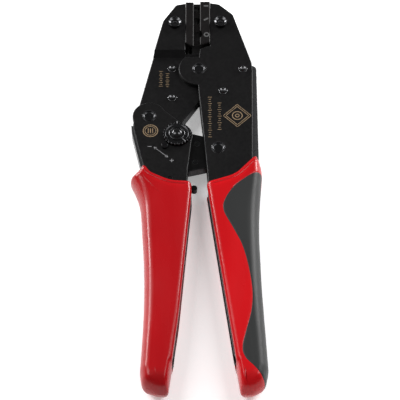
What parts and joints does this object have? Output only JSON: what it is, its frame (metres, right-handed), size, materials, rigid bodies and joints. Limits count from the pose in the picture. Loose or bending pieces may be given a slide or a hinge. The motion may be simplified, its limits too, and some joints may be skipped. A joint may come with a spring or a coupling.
{
  "type": "ratchet crimping tool",
  "caption": "Hand crimping tool with a toggle linkage, a ratchet, screwed-in dies and moulded grips, lying flat, jaws almost closed.",
  "frame": {"origin": "middle of the footprint, on the plane that the rear faces of both grips lie on", "axes": "+X across the tool towards the fixed handle, +Y from the grip ends to the jaw tips, +Z through the thickness, out of the front face"},
  "size_m": [0.0718, 0.25, 0.02],
  "materials": {
    "black_plate": "black oxide, semi-gloss",
    "black_die": "black oxide, fine ground",
    "black_fastener": "black oxide, oiled, glossy",
    "pin_steel": "blackened steel, turned",
    "hardened_steel": "black oxide, satin",
    "spring_wire": "drawn wire",
    "red_grip": "smooth moulded, glossy",
    "soft_panel": "soft overmoulding, fine matt texture"
  },
  "bodies": {
    "frame": {"frame_plate_front": "black_plate", "frame_plate_rear": "black_plate", "frame_channel": "black_plate", "main_pivot_pin": "pin_steel", "link_pin": "pin_steel", "frame_rivet_upper": "black_fastener", "frame_rivet_lower": "black_fastener", "spring_sleeve": "pin_steel", "frame_tang_rivets": "black_fastener", "fixed_die": "black_die", "fixed_die_screw": "black_fastener", "right_grip": "red_grip", "soft_grip_panel": "soft_panel", "opening_spring": "spring_wire"},
    "jaw": {"jaw_plate_front": "black_plate", "jaw_plate_rear": "black_plate", "jaw_rivets": "black_fastener", "moving_die": "black_die", "moving_die_screw": "black_fastener"},
    "handle": {"handle_plate_front": "black_plate", "handle_plate_rear": "black_plate", "handle_spine": "black_plate", "handle_pin": "pin_steel", "handle_tang_rivets": "black_fastener", "left_grip": "red_grip", "pawl_pin": "pin_steel", "pawl_spring_post": "spring_wire", "pawl_spring": "spring_wire", "lock_screw": "black_fastener"},
    "link": {"link_plate_front": "hardened_steel", "link_plate_rear": "hardened_steel", "ratchet_sector": "hardened_steel", "link_rivets": "black_fastener"},
    "pawl": {"release_lever": "hardened_steel"},
    "adjuster": {"eccentric_bolt": "black_fastener", "star_wheel": "black_fastener", "eccentric_retainer": "pin_steel"}
  },
  "joints": [
    {"name": "jaw_pivot", "type": "hinge", "parent": "frame", "child": "jaw", "pos_m": [0.001, 0.0768, 0.01], "axis": [0, 0, 1], "range_deg": [-1.1, 11.8]},
    {"name": "handle_fold", "type": "hinge", "parent": "jaw", "child": "handle", "pos_m": [-0.0261, 0.044, 0.01], "axis": [0, 0, 1], "range_deg": [-44, 4]},
    {"name": "link_pivot", "type": "hinge", "parent": "frame", "child": "link", "pos_m": [0.0114, 0.0228, 0.01], "axis": [0, 0, 1], "range_deg": [-2.6, 28.2], "deforming": ["opening_spring"]},
    {"name": "release_lever_pivot", "type": "hinge", "parent": "handle", "child": "pawl", "pos_m": [-0.0145, 0.0026, 0.01], "axis": [0, 0, 1], "range_deg": [0, 10], "stiffness_Nm_per_rad": 0.02, "deforming": ["pawl_spring"]},
    {"name": "eccentric_turn", "type": "hinge", "parent": "handle", "child": "adjuster", "pos_m": [-0.0109, 0.031, 0.01], "axis": [0, 0, 1], "range_deg": [-60, 60]}
  ],
  "couplings": [
    {"joint": "jaw_pivot", "follows": "handle_fold", "ratio": -0.268},
    {"joint": "link_pivot", "follows": "handle_fold", "ratio": -0.64}
  ]
}
